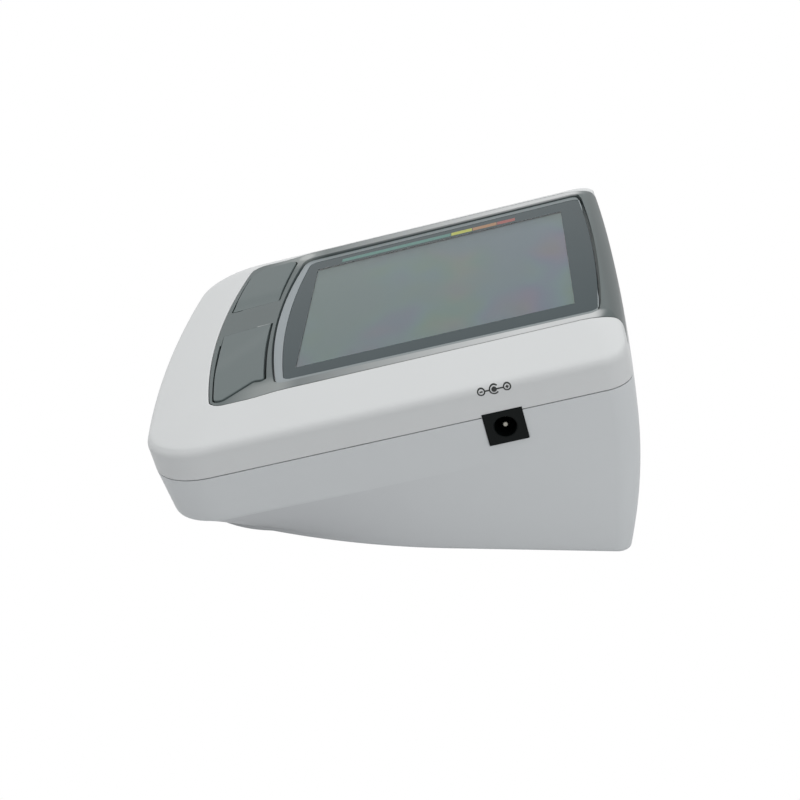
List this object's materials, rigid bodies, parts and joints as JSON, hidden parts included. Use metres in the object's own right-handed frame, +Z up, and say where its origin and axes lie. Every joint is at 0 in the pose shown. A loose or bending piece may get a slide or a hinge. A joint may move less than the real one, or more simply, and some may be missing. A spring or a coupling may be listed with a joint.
{
  "type": "blood pressure monitor",
  "caption": "Wedge-shaped desktop blood pressure monitor for an upper-arm cuff: large tilted display, two tilting keys, side power inlet, air socket and battery bay with a sliding door",
  "frame": {"origin": "under the middle of the bounding box, on the table that the rubber feet stand on", "axes": "+Z up; +Y to the back, the tall end; +X to the side of the power inlet and the start key; the display faces up and to the front, tilted 15 degrees"},
  "size_m": [0.1324, 0.1394, 0.0655],
  "materials": {
    "case_white": "fine satin texture",
    "console_grey": "fine satin texture",
    "bezel_grey": "satin metallic paint",
    "lens": "clear, with a printed dark border",
    "key_grey": "fine satin texture",
    "display": "liquid crystal glass",
    "white_plastic": "plain",
    "elastomer": "soft",
    "board": "solder mask",
    "black_plastic": "plain",
    "capacitor_can": "bright",
    "switch_steel": "bright",
    "tube_silicone": "translucent",
    "socket_plastic": "plain",
    "plated_pin": "bright plated",
    "valve_steel": "zinc plated",
    "bright_steel": "bright",
    "motor_can": "zinc plated",
    "black_rubber": "matte",
    "cell_jacket": "printed jacket, plain",
    "contact_steel": "nickel plated",
    "label": "blank paper",
    "lead_red": "smooth",
    "lead_black": "smooth"
  },
  "bodies": {
    "case": {"upper_case": "case_white", "lower_case": "case_white", "console_panel": "console_grey", "display_bezel": "bezel_grey", "display_lens": "lens", "display_glass": "display", "display_reflector": "white_plastic", "display_holder": "white_plastic", "connector_strips": "elastomer", "main_board": "board", "board_chips": "black_plastic", "board_capacitors": "capacitor_can", "buzzer": "black_plastic", "key_switches": "switch_steel", "pressure_sensor": "black_plastic", "air_manifold": "white_plastic", "pump_tube": "tube_silicone", "valve_tube": "tube_silicone", "sensor_tube": "tube_silicone", "socket_tube": "tube_silicone", "air_socket": "socket_plastic", "power_inlet": "black_plastic", "inlet_pin": "plated_pin", "valve_body": "valve_steel", "pump_motor": "motor_can", "pump_head": "white_plastic", "pump_diaphragm": "black_rubber", "pump_cover": "white_plastic", "pump_cradle": "black_rubber", "battery_1": "cell_jacket", "battery_2": "cell_jacket", "battery_3": "cell_jacket", "battery_4": "cell_jacket", "battery_springs": "contact_steel", "battery_plates": "contact_steel", "case_screws": "bright_steel", "board_screws": "bright_steel", "foot_front_left": "black_rubber", "foot_front_right": "black_rubber", "foot_rear_left": "black_rubber", "foot_rear_right": "black_rubber", "rating_label": "label", "motor_leads": "lead_red", "battery_leads": "lead_black"},
    "start_key": {"start_button": "key_grey"},
    "memory_key": {"memory_button": "key_grey"},
    "start_rod": {"start_stem": "black_plastic"},
    "memory_rod": {"memory_stem": "black_plastic"},
    "rotor": {"motor_shaft": "bright_steel", "pump_crank": "white_plastic"},
    "valve_rod": {"valve_plunger": "bright_steel"},
    "door": {"battery_door": "case_white"}
  },
  "joints": [
    {"name": "start_key_tilt", "type": "hinge", "parent": "case", "child": "start_key", "pos_m": [0.0005, -0.04477, 0.03721], "axis": [0, 0.9659, 0.2588], "range_deg": [0, 1.2], "stiffness_Nm_per_rad": 2.4, "springref_deg": -0.34},
    {"name": "memory_key_tilt", "type": "hinge", "parent": "case", "child": "memory_key", "pos_m": [-0.0165, -0.04477, 0.03721], "axis": [0, -0.9659, -0.2588], "range_deg": [0, 1.2], "stiffness_Nm_per_rad": 2.4, "springref_deg": -0.34},
    {"name": "start_stem_press", "type": "slide", "parent": "case", "child": "start_rod", "axis": [0, 0.2588, -0.9659], "range_m": [0, 0.00058]},
    {"name": "memory_stem_press", "type": "slide", "parent": "case", "child": "memory_rod", "axis": [0, 0.2588, -0.9659], "range_m": [0, 0.0005]},
    {"name": "motor_spin", "type": "hinge", "parent": "case", "child": "rotor", "pos_m": [0.047, 0.0128, 0.0164], "axis": [0, 1, 0], "continuous": true},
    {"name": "valve_pull", "type": "slide", "parent": "case", "child": "valve_rod", "axis": [0, -0.2588, 0.9659], "range_m": [0, 0.0008], "stiffness_N_per_m": 150, "springref_m": -0.0005},
    {"name": "battery_door_slide", "type": "slide", "parent": "case", "child": "door", "axis": [0, 1, 0], "range_m": [0, 0.06]}
  ],
  "couplings": [
    {"joint": "start_stem_press", "follows": "start_key_tilt", "m_per_rad": 0.025},
    {"joint": "memory_stem_press", "follows": "memory_key_tilt", "m_per_rad": 0.0205}
  ]
}
